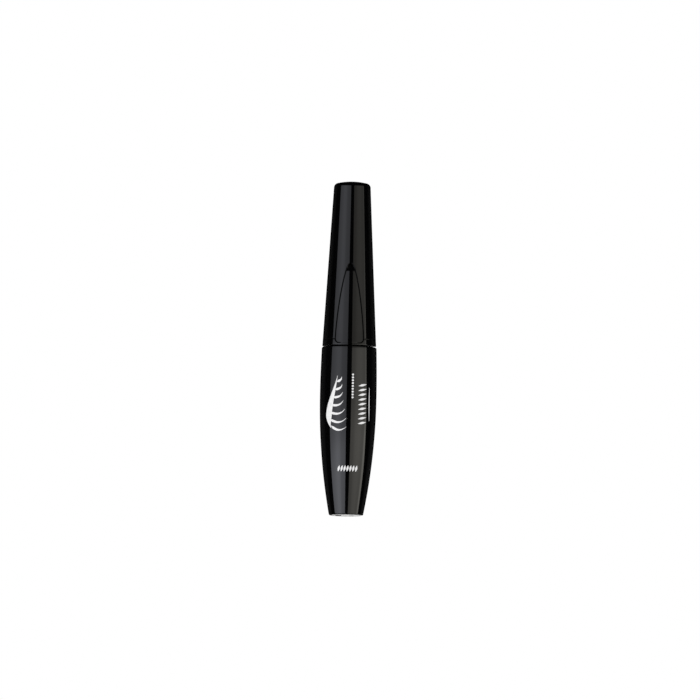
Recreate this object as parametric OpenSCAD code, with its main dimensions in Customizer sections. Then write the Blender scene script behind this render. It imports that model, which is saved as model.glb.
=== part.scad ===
// Liquid eyeliner bottle: a threaded bottle with a wiper in its neck, closed by a tall screw cap
// that carries a fine brush on a stem. Origin at the centre of the foot, +Z up, front towards -Y.

/* [Bottle] */
// Height of the bottle's shoulder above the table
shoulder_z = 57.5; // [54:0.5:62]
// Diameter of the bottle where it stands
foot_d = 11.7; // [10.6:0.1:13]
// Diameter of the bottle at its widest ring
belly_d = 19.44; // [19:0.02:21]
// Height of the widest ring, as a share of the shoulder's height
belly_z_share = 0.704; // [0.6:0.002:0.8]
// How far the shoulder stands in from the widest ring
shoulder_inset = 0.32; // [0.1:0.02:0.6]
// Radius of the edge round the foot
foot_edge_r = 0.4; // [0.2:0.05:0.6]
// Radius of the edge round the shoulder
shoulder_edge_r = 0.6; // [0.3:0.05:1]
// Thickness of the bottle's side wall and shoulder
wall_t = 1.2; // [0.9:0.05:1.5]
// Thickness of the bottle's floor
floor_t = 1.5; // [1.1:0.1:2.5]
// Radius of the edges inside the bottle
cavity_edge_r = 1; // [0.4:0.1:1.6]

/* [Neck] */
// Diameter of the neck under its thread, as a share of the shoulder's diameter
neck_share = 0.585; // [0.56:0.005:0.61]
// Height of the neck above the shoulder
neck_h = 13; // [12:0.25:15]
// Thickness of the neck's wall
neck_wall_t = 1; // [0.9:0.05:1.3]
// Height of the plain collar at the foot of the neck
collar_h = 0.7; // [0.4:0.05:0.8]

/* [Thread] */
// Rise of the thread in one turn
thread_lead = 6; // [5.6:0.1:6.4]
// Number of thread ridges that start round the neck
thread_starts = 2; // [1:1:3]
// How far a ridge stands out of its wall
ridge_h = 0.6; // [0.5:0.05:0.65]
// Width of a ridge at the wall
ridge_root_w = 1.3; // [1.1:0.05:1.5]
// Width of a ridge at its crest
ridge_crest_w = 0.6; // [0.4:0.05:0.8]
// Height above the shoulder at which the neck's ridges start
ridge_start_h = 2.2; // [1.8:0.1:2.6]
// Rise of each ridge from its start to its end
ridge_rise = 7.5; // [6:0.25:8]

/* [Wiper] */
// Thickness of the wiper's flange on the lip of the neck
wiper_flange_t = 0.8; // [0.5:0.05:1.2]
// How far the wiper's flange stands in from the neck's outside
wiper_flange_inset = 0.2; // [0:0.05:0.4]
// Thickness of the wiper's sleeve and cone
wiper_wall_t = 0.6; // [0.4:0.05:0.8]
// Length of the sleeve inside the neck
wiper_sleeve_h = 7.5; // [6:0.25:9]
// Height of the cone between the sleeve and the wiping lip
wiper_cone_h = 4; // [3:0.25:5]
// Height of the wiping lip round the stem
wiper_lip_h = 0.8; // [0.5:0.1:1.2]

/* [Cap] */
// Height of the cap from its rim to its crown
cap_h = 57.1; // [54:0.1:62]
// Gap between the bottle's shoulder and the cap's rim
cap_gap = 0.4; // [0.2:0.05:0.6]
// How far the cap's rim stands in from the shoulder's edge
cap_inset = 0.18; // [0:0.02:0.3]
// Diameter of the cap's taper at the height of its crown
crown_d = 12.4; // [11.4:0.1:13.4]
// Radius of the shallow dome on the crown
crown_dome_r = 27; // [20:1:40]
// Radius of the edge round the crown
crown_edge_r = 1.1; // [0.6:0.1:1.6]
// Radius of the edge round the cap's rim
rim_edge_r = 0.3; // [0.15:0.05:0.5]
// Thickness of the cap's wall
cap_wall_t = 1.2; // [1:0.05:1.3]
// Thickness of the cap's crown
crown_t = 1.8; // [1.4:0.1:2.6]
// Number of ribs inside the cap
rib_count = 8; // [4:1:12]
// Thickness of each rib
rib_t = 0.8; // [0.6:0.05:1.2]
// How far each rib steps in above the inner cap
rib_step = 0.8; // [0.4:0.05:1]

/* [Petal on the cap] */
// Height of the petal from its foot to its tip
petal_h = 27.2; // [20:0.2:34]
// Width of the petal at its widest, straight across
petal_w = 10.2; // [8:0.1:12]
// Height of the petal's foot above the cap's rim
petal_foot_h = 0.9; // [0.6:0.05:2]
// Depth of the petal below the cap's surface
petal_depth = 0.25; // [0.15:0.05:0.4]
// Radius of the corners at the petal's foot
petal_corner_r = 1; // [0.6:0.1:1.6]

/* [Inner cap] */
// Thickness of the inner cap's wall outside its thread
inner_wall_t = 0.7; // [0.6:0.02:0.76]
// Thickness of the plate across the inner cap's top
inner_plate_t = 1.4; // [1:0.1:2]
// How far the inner cap's foot stands up inside the rim
inner_recess_h = 0.4; // [0.3:0.05:0.8]
// Thickness of the flange round the inner cap's foot
inner_flange_t = 0.8; // [0.6:0.05:1.2]
// Width of that flange, as a share of the space between the inner cap and the cap's wall
inner_flange_share = 0.5; // [0.3:0.05:0.7]

/* [Seal washer] */
// Thickness of the washer between the wiper's flange and the inner cap
washer_t = 1; // [0.7:0.05:1.4]

/* [Stem] */
// Diameter of the stem where it runs in the wiper
stem_d = 3.2; // [2.8:0.1:3.6]
// Diameter of the stem's waist through the inner cap's plate
stem_waist_d = 3.4; // [3:0.1:3.8]
// Diameter of the stem's collar and of the foot of its snap head
stem_collar_d = 4.8; // [4.4:0.1:5]
// Thickness of the collar under the inner cap's plate
stem_collar_t = 1; // [0.5:0.05:1.4]
// Height of the snap head above the inner cap's plate
stem_head_h = 1.6; // [1.2:0.1:2.4]
// Diameter of the top of the snap head
stem_head_tip_d = 2.8; // [2:0.1:3]
// Length of full stem below the wiper, before the taper to the ferrule
stem_straight_h = 6; // [4:0.5:10]
// Length of the spigot that holds the ferrule
spigot_h = 3; // [2:0.25:4]

/* [Brush] */
// Height of the brush's tip above the table
brush_tip_z = 12; // [9:0.5:16]
// Length of the bristles outside the ferrule
tuft_h = 9; // [6:0.5:12]
// Length of the bristles' point
tuft_point_h = 6; // [4:0.5:6]
// Diameter of the brush's tip
tuft_tip_d = 0.3; // [0.2:0.05:0.5]
// Outer diameter of the ferrule
ferrule_d = 2.2; // [2:0.05:2.6]
// Wall thickness of the ferrule
ferrule_wall_t = 0.25; // [0.15:0.05:0.35]
// Length of the ferrule
ferrule_h = 6; // [5:0.25:8]

/* [Foot label] */
// How far the round label stands in from the foot's edge
label_inset = 0.85; // [0.75:0.05:2]
// Thickness of the label
label_t = 0.12; // [0.06:0.02:0.16]
// Depth of the recess that the label lies in
label_recess_h = 0.2; // [0.18:0.02:0.4]

/* [Fits] */
// Gap between the stem and the wiper's lip, on the radius
stem_clear = 0.08; // [0.04:0.01:0.1]
// Gap between a ridge's crest and the wall that it faces
crest_clear = 0.2; // [0.15:0.01:0.24]
// Gap between the flanks of the neck's and the inner cap's ridges
flank_clear = 0.1; // [0.06:0.01:0.2]
// Gap round the washer, on the radius
washer_clear = 0.15; // [0.05:0.01:0.3]
// Gap round the label, on the radius
label_clear = 0.1; // [0.05:0.01:0.2]

/* [Hidden] */
$fn = 200;

// How far every cut runs past the face that it opens
overrun = 1;
// How deep a thread ridge is sunk into the wall that carries it
ridge_sink = 0.3;
ridge_steps_per_turn = 36;
// Steps over which a ridge rises out of its wall at each end
ridge_fade_steps = 4;
petal_steps = 16;

belly_r = belly_d / 2;
belly_z = shoulder_z * belly_z_share;
foot_r = foot_d / 2;
shoulder_r = belly_r - shoulder_inset;

// Radius of an arc that leaves a line square on and strays from it by depth over a length
function arc_r(length, depth) = (length * length + depth * depth) / (2 * depth);
lower_arc_r = arc_r(belly_z, belly_r - foot_r);
upper_arc_r = arc_r(shoulder_z - belly_z, shoulder_inset);

neck_r = shoulder_r * neck_share;
neck_z = shoulder_z - wall_t;
neck_top = shoulder_z + neck_h;
neck_bore_r = neck_r - neck_wall_t;
neck_crest_r = neck_r + ridge_h;

inner_bore_r = neck_crest_r + crest_clear;
inner_crest_r = neck_r + crest_clear;
inner_r = inner_bore_r + inner_wall_t;

// Heights up the closed neck, each piece seated on the one below
washer_z = neck_top + wiper_flange_t;
plate_z = washer_z + washer_t;
inner_top = plate_z + inner_plate_t;

rim_z = shoulder_z + cap_gap;
cap_top = rim_z + cap_h;
rim_r = shoulder_r - cap_inset;
crown_r = crown_d / 2;
cap_slope = (rim_r - crown_r) / cap_h;
cap_lean = atan(cap_slope);
function cap_r(z) = rim_r - cap_slope * (z - rim_z);
function cap_inside_r(z) = cap_r(z) - cap_wall_t / cos(cap_lean);
inner_z = rim_z + inner_recess_h;
inner_flange_z = inner_z + inner_flange_t;
inner_flange_r = inner_r + inner_flange_share * (cap_inside_r(inner_flange_z) - inner_r);

// Both threads are parts of one screw surface, a steady step apart
flank_slope = (ridge_root_w - ridge_crest_w) / 2 / ridge_h;
ridge_drop = ridge_root_w - flank_slope * (inner_bore_r - neck_r) + flank_clear;
neck_ridge_z = shoulder_z + ridge_start_h;
inner_ridge_z = inner_z + ridge_root_w / 2;
inner_ridge_angle = 360 * (inner_ridge_z - neck_ridge_z + ridge_drop) / thread_lead;

stem_r = stem_d / 2;
stem_collar_r = stem_collar_d / 2;
wiper_lip_r = stem_r + stem_clear;
wiper_sleeve_z = neck_top - wiper_sleeve_h;
wiper_lip_z = wiper_sleeve_z - wiper_cone_h;
wiper_z = wiper_lip_z - wiper_lip_h;

ferrule_r = ferrule_d / 2;
ferrule_bore_r = ferrule_r - ferrule_wall_t;
ferrule_z = brush_tip_z + tuft_h;
ferrule_top = ferrule_z + ferrule_h;
spigot_z = ferrule_top - spigot_h;

label_r = foot_r - label_inset;

// Point a given distance from c, in the direction of a unit vector
function along(c, unit, distance) = c + unit * distance;
function unit(v) = v / norm(v);

// What to cut from a corner to round it: c is the centre of the round, level the height of
// the corner's flat face, and t the point where the round meets the corner's side
module edge_cut(c, r, level, t) {
    out = level > c.y ? overrun : -overrun;
    difference() {
        polygon([
            c, [c.x, level], [c.x, level + out],
            [t.x + overrun, level + out], [t.x + overrun, t.y], t
        ]);
        translate(c) circle(r = r);
    }
}

// Rounds the corner between a level face and a bulging side of radius side_r about side_c
module bulge_edge_cut(side_c, side_r, level, r) {
    height = level > side_c.y ? level - r : level + r;
    reach = sqrt(pow(side_r - r, 2) - pow(height - side_c.y, 2));
    c = [side_c.x + reach, height];
    edge_cut(c, r, level, along(side_c, unit(c - side_c), side_r));
}

// Half of the barrel-shaped outline, drawn in by inset, between two heights with rounded corners
module barrel_half(inset, low, high, low_edge_r, high_edge_r) {
    lower_c = [belly_r - lower_arc_r, belly_z];
    upper_c = [belly_r - upper_arc_r, belly_z];
    difference() {
        union() {
            intersection() {
                translate(lower_c) circle(r = lower_arc_r - inset);
                translate([0, low]) square([belly_r + overrun, belly_z - low]);
            }
            intersection() {
                translate(upper_c) circle(r = upper_arc_r - inset);
                translate([0, belly_z]) square([belly_r + overrun, high - belly_z]);
            }
        }
        bulge_edge_cut(lower_c, lower_arc_r - inset, low, low_edge_r);
        bulge_edge_cut(upper_c, upper_arc_r - inset, high, high_edge_r);
    }
}

// One thread ridge, from the radius where it is buried to its crest
module ridge(buried_r, crest_r, start_z, start_angle) {
    turns = ridge_rise / thread_lead;
    steps = ceil(turns * ridge_steps_per_turn);
    hidden_r = buried_r + sign(crest_r - buried_r) * ridge_sink / 2;
    outward = crest_r > buried_r;
    rings = [
        for (i = [0:steps])
            let (
                angle = start_angle + 360 * turns * i / steps,
                z = start_z + ridge_rise * i / steps,
                fade = min(1, min(i, steps - i) / ridge_fade_steps),
                tip_r = hidden_r + (crest_r - hidden_r) * fade
            )
            each [
                for (p = [
                    [buried_r, -ridge_root_w / 2], [buried_r, ridge_root_w / 2],
                    [tip_r, ridge_crest_w / 2], [tip_r, -ridge_crest_w / 2]
                ])
                    [p.x * cos(angle), p.x * sin(angle), z + p.y]
            ]
    ];
    sides = [
        for (i = [0:steps - 1], j = [0:3])
            let (
                a = 4 * i + j,
                b = 4 * i + (j + 1) % 4
            )
            each [[b + 4, b, a], [a + 4, b + 4, a]]
    ];
    ends = [
        [0, 1, 2], [0, 2, 3],
        [for (j = [2, 1, 0]) 4 * steps + j],
        [for (j = [3, 2, 0]) 4 * steps + j]
    ];
    faces = concat(sides, ends);
    polyhedron(
        rings,
        outward ? faces : [for (f = faces) [f[2], f[1], f[0]]]
    );
}

module ridges(buried_r, crest_r, start_z, start_angle) {
    for (i = [0:thread_starts - 1])
        ridge(buried_r, crest_r, start_z, start_angle + 360 * i / thread_starts);
}

// Blow-moulded bottle with its neck and outer thread
module bottle() {
    color("#17171a") difference() {
        union() {
            rotate_extrude() barrel_half(0, 0, shoulder_z, foot_edge_r, shoulder_edge_r);
            translate([0, 0, neck_z]) {
                cylinder(r = neck_r, h = neck_top - neck_z);
                cylinder(r = neck_crest_r, h = shoulder_z + collar_h - neck_z);
            }
            ridges(neck_r - ridge_sink, neck_crest_r, neck_ridge_z, 0);
        }
        rotate_extrude()
            barrel_half(wall_t, floor_t, neck_z, cavity_edge_r, cavity_edge_r);
        translate([0, 0, neck_z - overrun])
            cylinder(r = neck_bore_r, h = neck_top - neck_z + 2 * overrun);
        translate([0, 0, -overrun])
            cylinder(r = label_r + label_clear, h = label_recess_h + overrun);
    }
}

// Soft insert in the neck that strips spare liquid off the stem
module wiper() {
    color("gainsboro") rotate_extrude() polygon([
        [neck_r - wiper_flange_inset, neck_top],
        [neck_r - wiper_flange_inset, neck_top + wiper_flange_t],
        [neck_bore_r - wiper_wall_t, neck_top + wiper_flange_t],
        [neck_bore_r - wiper_wall_t, wiper_sleeve_z],
        [wiper_lip_r, wiper_lip_z],
        [wiper_lip_r, wiper_z],
        [wiper_lip_r + wiper_wall_t, wiper_z],
        [neck_bore_r, wiper_sleeve_z - wiper_lip_h],
        [neck_bore_r, neck_top]
    ]);
}

// Round paper label stuck in a shallow recess under the foot
module base_label() {
    color("white") translate([0, 0, label_recess_h - label_t])
        cylinder(r = label_r, h = label_t);
}

// Foam ring squeezed between the wiper's flange and the inner cap
module seal_washer() {
    color("whitesmoke") translate([0, 0, washer_z]) difference() {
        cylinder(r = inner_bore_r - washer_clear, h = washer_t);
        translate([0, 0, -overrun])
            cylinder(r = stem_collar_r + washer_clear, h = washer_t + 2 * overrun);
    }
}

// Half outline of the cap's outside: a taper under a shallow dome, with rounded edges
module cap_half() {
    dome_c = [0, cap_top - crown_dome_r];
    side = [cos(cap_lean), sin(cap_lean)];
    reach = crown_dome_r - crown_edge_r;
    edge_x = cap_r(dome_c.y) - crown_edge_r / cos(cap_lean);
    rise = (edge_x * cap_slope
        + sqrt(reach * reach * (1 + cap_slope * cap_slope) - edge_x * edge_x))
        / (1 + cap_slope * cap_slope);
    crown_c = [edge_x - cap_slope * rise, dome_c.y + rise];
    dome_t = along(dome_c, unit(crown_c - dome_c), crown_dome_r);
    side_t = along(crown_c, side, crown_edge_r);
    rim_c = [cap_r(rim_z + rim_edge_r) - rim_edge_r / cos(cap_lean), rim_z + rim_edge_r];
    difference() {
        intersection() {
            polygon([
                [0, rim_z], [rim_r, rim_z],
                [cap_r(cap_top + overrun), cap_top + overrun], [0, cap_top + overrun]
            ]);
            union() {
                translate(dome_c) circle(r = crown_dome_r);
                translate([0, rim_z - overrun])
                    square([crown_dome_r, dome_c.y - rim_z + overrun]);
            }
        }
        difference() {
            polygon([
                crown_c, side_t, side_t + [overrun, 0],
                [side_t.x + overrun, dome_t.y + overrun], dome_t + [0, overrun], dome_t
            ]);
            translate(crown_c) circle(r = crown_edge_r);
        }
        edge_cut(rim_c, rim_edge_r, rim_z, along(rim_c, side, rim_edge_r));
    }
}

// Outline of the petal seen from the front, its tip a parabola and its foot corners rounded
module petal_outline() {
    foot_z = rim_z + petal_foot_h;
    tip_z = foot_z + petal_h;
    corner_z = foot_z + petal_corner_r;
    // Half width at a depth below the tip
    function half_w(depth) = petal_w / 2 * sqrt(depth / (tip_z - corner_z));
    side = [
        for (i = [0:petal_steps])
            let (share = pow(i / petal_steps, 2))
            [half_w(share * (tip_z - corner_z)), tip_z - share * (tip_z - corner_z)]
    ];
    corner = [
        for (i = [1:4])
            let (angle = 90 * i / 4)
            [
                petal_w / 2 - petal_corner_r * (1 - cos(angle)),
                corner_z - petal_corner_r * sin(angle)
            ]
    ];
    half = concat(side, corner);
    last = len(half) - 1;
    polygon(concat(half, [for (i = [0:last - 1]) [-half[last - i].x, half[last - i].y]]));
}

// The petal is sunk evenly into the taper, so its floor keeps the taper's slope
module petal_cut() {
    intersection() {
        rotate([90, 0, 0]) linear_extrude(height = rim_r + overrun) petal_outline();
        rotate_extrude() polygon([
            [cap_r(rim_z) - petal_depth, rim_z],
            [rim_r + overrun, rim_z],
            [rim_r + overrun, cap_top],
            [cap_r(cap_top) - petal_depth, cap_top]
        ]);
    }
}

// Ribs that centre the inner cap and step in over its top
module cap_ribs() {
    rib_top = cap_top - crown_t;
    intersection() {
        for (i = [0:rib_count - 1])
            rotate([0, 0, 360 * (i + 0.5) / rib_count])
                translate([inner_r - rib_step, -rib_t / 2, inner_flange_z])
                    cube([rim_r, rib_t, rib_top - inner_flange_z]);
        rotate_extrude() polygon([
            [0, rim_z], [cap_r(rim_z) - cap_wall_t / 2, rim_z],
            [cap_r(cap_top) - cap_wall_t / 2, cap_top], [0, cap_top]
        ]);
    }
}

// Tall tapered cap, hollow above the inner cap
module overcap() {
    color("#17171a") difference() {
        union() {
            difference() {
                rotate_extrude() cap_half();
                rotate_extrude() polygon([
                    [0, rim_z - overrun],
                    [cap_inside_r(rim_z - overrun), rim_z - overrun],
                    [cap_inside_r(cap_top - crown_t), cap_top - crown_t],
                    [0, cap_top - crown_t]
                ]);
            }
            cap_ribs();
        }
        translate([0, 0, rim_z - overrun])
            cylinder(r = inner_r, h = inner_top - rim_z + overrun);
        petal_cut();
    }
}

// Threaded liner pressed into the cap; its plate carries the stem
module inner_cap() {
    color("#232326") union() {
        rotate_extrude() polygon([
            [inner_bore_r, inner_z],
            [inner_flange_r, inner_z],
            [inner_flange_r, inner_flange_z],
            [inner_r, inner_flange_z],
            [inner_r, inner_top],
            [stem_waist_d / 2, inner_top],
            [stem_waist_d / 2, plate_z],
            [inner_bore_r, plate_z]
        ]);
        ridges(inner_bore_r + ridge_sink, inner_crest_r, inner_ridge_z, inner_ridge_angle);
    }
}

// Stem with a snap head above the inner cap's plate and a spigot for the ferrule
module stem() {
    color("#1c1c1f") rotate_extrude() polygon([
        [0, inner_top + stem_head_h],
        [stem_head_tip_d / 2, inner_top + stem_head_h],
        [stem_collar_r, inner_top],
        [stem_waist_d / 2, inner_top],
        [stem_waist_d / 2, plate_z],
        [stem_collar_r, plate_z],
        [stem_collar_r, plate_z - stem_collar_t],
        [stem_r, plate_z - stem_collar_t],
        [stem_r, wiper_z - stem_straight_h],
        [ferrule_r, ferrule_top],
        [ferrule_bore_r, ferrule_top],
        [ferrule_bore_r, spigot_z],
        [0, spigot_z]
    ]);
}

// Thin metal tube that grips the bristles and is pressed over the stem's spigot
module ferrule() {
    color("silver") translate([0, 0, ferrule_z]) difference() {
        cylinder(r = ferrule_r, h = ferrule_h);
        translate([0, 0, -overrun]) cylinder(r = ferrule_bore_r, h = ferrule_h + 2 * overrun);
    }
}

// Bristles as one solid: straight inside the ferrule and below it, then drawn to a point
module brush_tuft() {
    point_r = arc_r(tuft_point_h, ferrule_bore_r - tuft_tip_d / 2);
    point_z = brush_tip_z + tuft_point_h;
    color("#2b211c") rotate_extrude() union() {
        translate([0, point_z]) square([ferrule_bore_r, spigot_z - point_z]);
        intersection() {
            translate([ferrule_bore_r - point_r, point_z]) circle(r = point_r);
            translate([0, brush_tip_z]) square([ferrule_r, tuft_point_h]);
        }
    }
}

bottle();
wiper();
base_label();
seal_washer();
overcap();
inner_cap();
stem();
ferrule();
brush_tuft();
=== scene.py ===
import math
import random

import bpy
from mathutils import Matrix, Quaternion, Vector


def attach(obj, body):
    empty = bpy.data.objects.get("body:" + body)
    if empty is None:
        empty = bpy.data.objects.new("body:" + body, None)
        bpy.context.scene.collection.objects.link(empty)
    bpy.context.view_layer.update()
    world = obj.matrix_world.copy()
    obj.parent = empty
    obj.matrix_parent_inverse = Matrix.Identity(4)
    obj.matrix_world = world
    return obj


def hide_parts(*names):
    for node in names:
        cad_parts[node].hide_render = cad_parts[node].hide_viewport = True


# Liquid eyeliner bottle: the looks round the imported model, +Z up, front towards -Y.
# Sizes are in millimetres, apart from the studio's, which are in metres. Shares have no unit.

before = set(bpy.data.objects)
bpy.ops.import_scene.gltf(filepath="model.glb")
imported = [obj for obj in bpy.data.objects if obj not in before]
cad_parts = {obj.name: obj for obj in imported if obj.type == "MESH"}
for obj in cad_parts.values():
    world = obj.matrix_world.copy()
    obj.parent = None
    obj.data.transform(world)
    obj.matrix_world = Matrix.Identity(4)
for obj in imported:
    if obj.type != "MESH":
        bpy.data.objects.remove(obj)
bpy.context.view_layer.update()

MM = 0.001

# Barrel
SHOULDER_Z = 57.5
BELLY_R = 9.72
BELLY_Z_SHARE = 0.704
BELLY_Z = SHOULDER_Z * BELLY_Z_SHARE
SHOULDER_INSET = 0.32
SHOULDER_R = BELLY_R - SHOULDER_INSET
SHOULDER_EDGE_R = 0.35
DECK_RISE = 0.3
DECK_Z = SHOULDER_Z + DECK_RISE
DECK_RING_INSET = 1.2
FOOT_R = 5.85
FOOT_EDGE_R = 0.52
WALL_T = 1.2
FLOOR_T = 1.5
CAVITY_TOP_Z = SHOULDER_Z - WALL_T
CAVITY_EDGE_R = 1.0
LABEL_RECESS_R = 5.1
LABEL_RECESS_H = 0.2

# Neck and thread
NECK_R_SHARE = 0.585
NECK_R = SHOULDER_R * NECK_R_SHARE
NECK_H = 13.0
NECK_TOP = SHOULDER_Z + NECK_H
NECK_WALL_T = 1.0
NECK_BORE_R = NECK_R - NECK_WALL_T
COLLAR_H = 0.7
COLLAR_EDGE_R = 0.12
LIP_EDGE_R = 0.18
THREAD_LEAD = 6.0
THREAD_STARTS = 2
RIDGE_H = 0.6
RIDGE_ROOT_W = 1.3
RIDGE_CREST_W = 0.6
RIDGE_EDGE_W = 0.1
RIDGE_FOOT_H = 2.2
RIDGE_RISE = 7.5
RIDGE_SUNK = 0.3
RIDGE_TURN_STEPS = 120
RIDGE_FADE_STEPS = 14

# Cap, with the seats of its ribs on the inner cap
CAP_GAP = 0.4
RIM_Z = SHOULDER_Z + CAP_GAP
RIM_LIFT = 0.25
RIM_FOOT_Z = RIM_Z + RIM_LIFT
RIM_EDGE_R = 0.25
CAP_INSET = 0.14
RIM_R = SHOULDER_R - CAP_INSET
CAP_H = 57.1
CAP_TOP = RIM_Z + CAP_H
CROWN_R = 6.2
CROWN_DOME_R = 23.0
CROWN_EDGE_R = 1.5
CROWN_T = 1.8
CEILING_Z = CAP_TOP - CROWN_T
CAP_SLOPE = (RIM_R - CROWN_R) / (CAP_TOP - RIM_Z)
CAP_LEAN = math.atan(CAP_SLOPE)
CAP_WALL_T = 1.2
CAP_WALL_W = CAP_WALL_T / math.cos(CAP_LEAN)
CREST_CLEARANCE = 0.2
INNER_WALL_T = 0.7
INNER_R = NECK_R + RIDGE_H + CREST_CLEARANCE + INNER_WALL_T
WIPER_FLANGE_T = 0.8
WASHER_T = 1.0
PLATE_T = 1.4
INNER_TOP = NECK_TOP + WIPER_FLANGE_T + WASHER_T + PLATE_T
INNER_FOOT_H = 0.4
INNER_FLANGE_T = 0.8
INNER_FLANGE_Z = RIM_Z + INNER_FOOT_H + INNER_FLANGE_T
RIB_COUNT = 8
RIB_T = 0.8
RIB_STEP = 0.8
RIB_SUNK = 0.2

# Petal sunk into the cap's front. Two powers shape its sides, and an extra on the tip's power,
# which soon fades, makes it blunt. Its floor is shallow at the foot and hollow below the tip.
PETAL_FOOT_H = 0.9
PETAL_FOOT_Z = RIM_Z + PETAL_FOOT_H
PETAL_H = 27.55
PETAL_TIP_Z = PETAL_FOOT_Z + PETAL_H
PETAL_HALF_W = 4.86
PETAL_CORNER_R = 1.45
PETAL_TIP_POWER = 1.8
PETAL_SIDE_POWER = 1.3
PETAL_BLUNT = 0.5
PETAL_BLUNT_FADE = 20
PETAL_SLOPE_SHARE = 0.001
PETAL_DEPTH = 0.3
PETAL_FOOT_DEPTH_SHARE = 0.12
PETAL_FADE_H = 4.0
PETAL_HOLLOW_H = 3.35
PETAL_HOLLOW_EASE = 0.7
PETAL_HOLLOW_SLOPE = 0.16
PETAL_LINE_HALF_W = 0.22
PETAL_TIP_LINE_HALF_W = 0.12
PETAL_LINE_DEPTH = 0.5
PETAL_FOOT_LINE_SHARE = 0.05
PETAL_FOOT_LINE_FADE = 1.0
PETAL_WALL_SHARES = (1, 0.93, 0.8, 0.6, 0.4, 0.2, 0, -0.2, -0.4, -0.6, -0.8, -0.93, -1)
PETAL_CORNER_STEPS = 8
PETAL_TIP_STEPS = 44
PETAL_SIDE_STEPS = 90
PETAL_RING = 2 * (PETAL_TIP_STEPS + PETAL_SIDE_STEPS)
PETAL_TIP_SHARE = 0.3

# Patch of skin round the petal, with rings that close in on it by shares of the way
PATCH_HALF_DEG = 50.0
PATCH_FOOT_H = 0.3
PATCH_LOW_Z = RIM_FOOT_Z + PATCH_FOOT_H
PATCH_OVER_TIP_H = 2.4
PATCH_HIGH_Z = PETAL_TIP_Z + PATCH_OVER_TIP_H
PATCH_RING_SHARES = (0.82, 0.66, 0.52, 0.4, 0.3, 0.21, 0.13, 0.07, 0.03)
BACK_STEPS = 180

# Ring line from the petal's foot corners round the cap
RING_LINE_Z = PETAL_FOOT_Z + PETAL_CORNER_R
RING_LINE_OVERLAP_W = 0.1
RING_LINE_START_X = PETAL_HALF_W - RING_LINE_OVERLAP_W
RING_LINE_FADE_W = 0.2
RING_LINE_FLOOR_W = 0.02
RING_LINE_HALF_W = 0.27
RING_LINE_DEPTH = 0.16
RING_LINE_BACK_PULL = 10.0

# Parting line down the stem
PARTING_FLOOR_W = 0.03
PARTING_HALF_W = 0.07

# Brush
BRUSH_TIP_Z = 12.0
TUFT_H = 9.0
TUFT_R = 0.85
TUFT_POINT_H = 6.0
TUFT_TIP_R = 0.15
TUFT_WET_H = 4.0
TUFT_GRIP_H = 3.0
TUFT_ROOT_Z = BRUSH_TIP_Z + TUFT_H + TUFT_GRIP_H
CORE_TIP_H = 0.9
CORE_LOW_H = 1.2
CORE_ROOT_INSET = 0.1
CORE_R_SHARE = 0.72
BRISTLE_SEED = 7
BRISTLE_COUNT = 210
BRISTLE_R = 0.05
BRISTLE_TAPER_SHARE = 0.78
BRISTLE_INNER_SHARE = 0.28
BRISTLE_TWIST = 0.25
BRISTLE_TIP_LIFT = 0.02
BRISTLE_TIP_SCATTER = 0.55
BRISTLE_OUTER_SHORT = 0.8
BRISTLE_STEPS = 8
BRISTLE_SIDES = 5

# Ferrule
FERRULE_Z = BRUSH_TIP_Z + TUFT_H
FERRULE_H = 6.0
FERRULE_TOP = FERRULE_Z + FERRULE_H
FERRULE_R = 1.1
FERRULE_BORE_R = 0.85
FERRULE_LIP_R = 0.06
FERRULE_TOP_EDGE_R = 0.05
CRIMP_DEPTH = 0.09
CRIMP_W = 0.16
CRIMP_ZS = (FERRULE_Z + 1.1, FERRULE_Z + 1.9, FERRULE_TOP - 1.2)

# Dark blocks on the label under the foot: middle and half size, across and forward
LABEL_BLOCKS = (
    (-2.6, 1.8, 1.0, 2.2), (1.9, 2.1, 0.8, 0.42), (1.9, 3.4, 0.8, 0.42),
    (0.6, -1.7, 2.4, 0.13), (0.2, -2.5, 2.0, 0.13), (0.6, -3.3, 2.4, 0.13),
)
LABEL_BLOCK_EDGE = 0.03

# White print on the barrel, with places across and up as seen from the front
INK_LIFT = 0.02
INK_SUNK = 0.03
STROKE_END_HALF_W = 0.05
STROKE_SWELL_POWER = 1.3
STROKE_SHARES = (-1, -0.5, 0, 0.5, 1)
LID_GUIDES = ((-5.7, 29.5), (-7.9, 34.5), (-4.9, 41.0), (-3.8, 47.4))
LID_W = 1.9
LID_PEAK_SHARE = 0.3
LASHES = (
    (0.05, 5.6, -22), (0.19, 6.0, -12), (0.33, 5.6, -2), (0.47, 4.9, 8),
    (0.61, 4.3, 17), (0.75, 3.7, 26), (0.89, 3.0, 36),
)
LASH_W = 0.8
LASH_PEAK_SHARE = 0.22
LASH_BEND_DEG = 16
LASH_ROOT_X = 0.3
LASH_GUIDE_SHARES = (0.35, 0.7)
LASH_END_SHARES = (0.98, 0.75)
HAIR_LINE_GUIDES = ((7.3, 32.2), (7.2, 36.0), (7.15, 40.0), (7.2, 43.6))
HAIR_LINE_W = 0.24
DOT_X, DOT_LOW_Z, DOT_STEP_Z = 1.5, 40.0, 0.98
DOT_R = 0.34
DOT_COUNT = 9
DOT_STEPS = 8

# Steps of a full turn
TURN_STEPS = 288


def spread(low, high, steps):
    """Values spaced evenly from low to high, both ends included."""
    return [low + (high - low) * i / steps for i in range(steps + 1)]


def eased(share):
    """A share of the way, held to 0 and 1, with a soft start and end."""
    share = min(1.0, max(0.0, share))
    return share * share * (3 - 2 * share)


# Shader maths

def feed(socket, value):
    """Links a wire to a socket, or sets the socket to a plain value."""
    if isinstance(value, Wire):
        socket.id_data.links.new(value.socket, socket)
    else:
        socket.default_value = value


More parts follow.
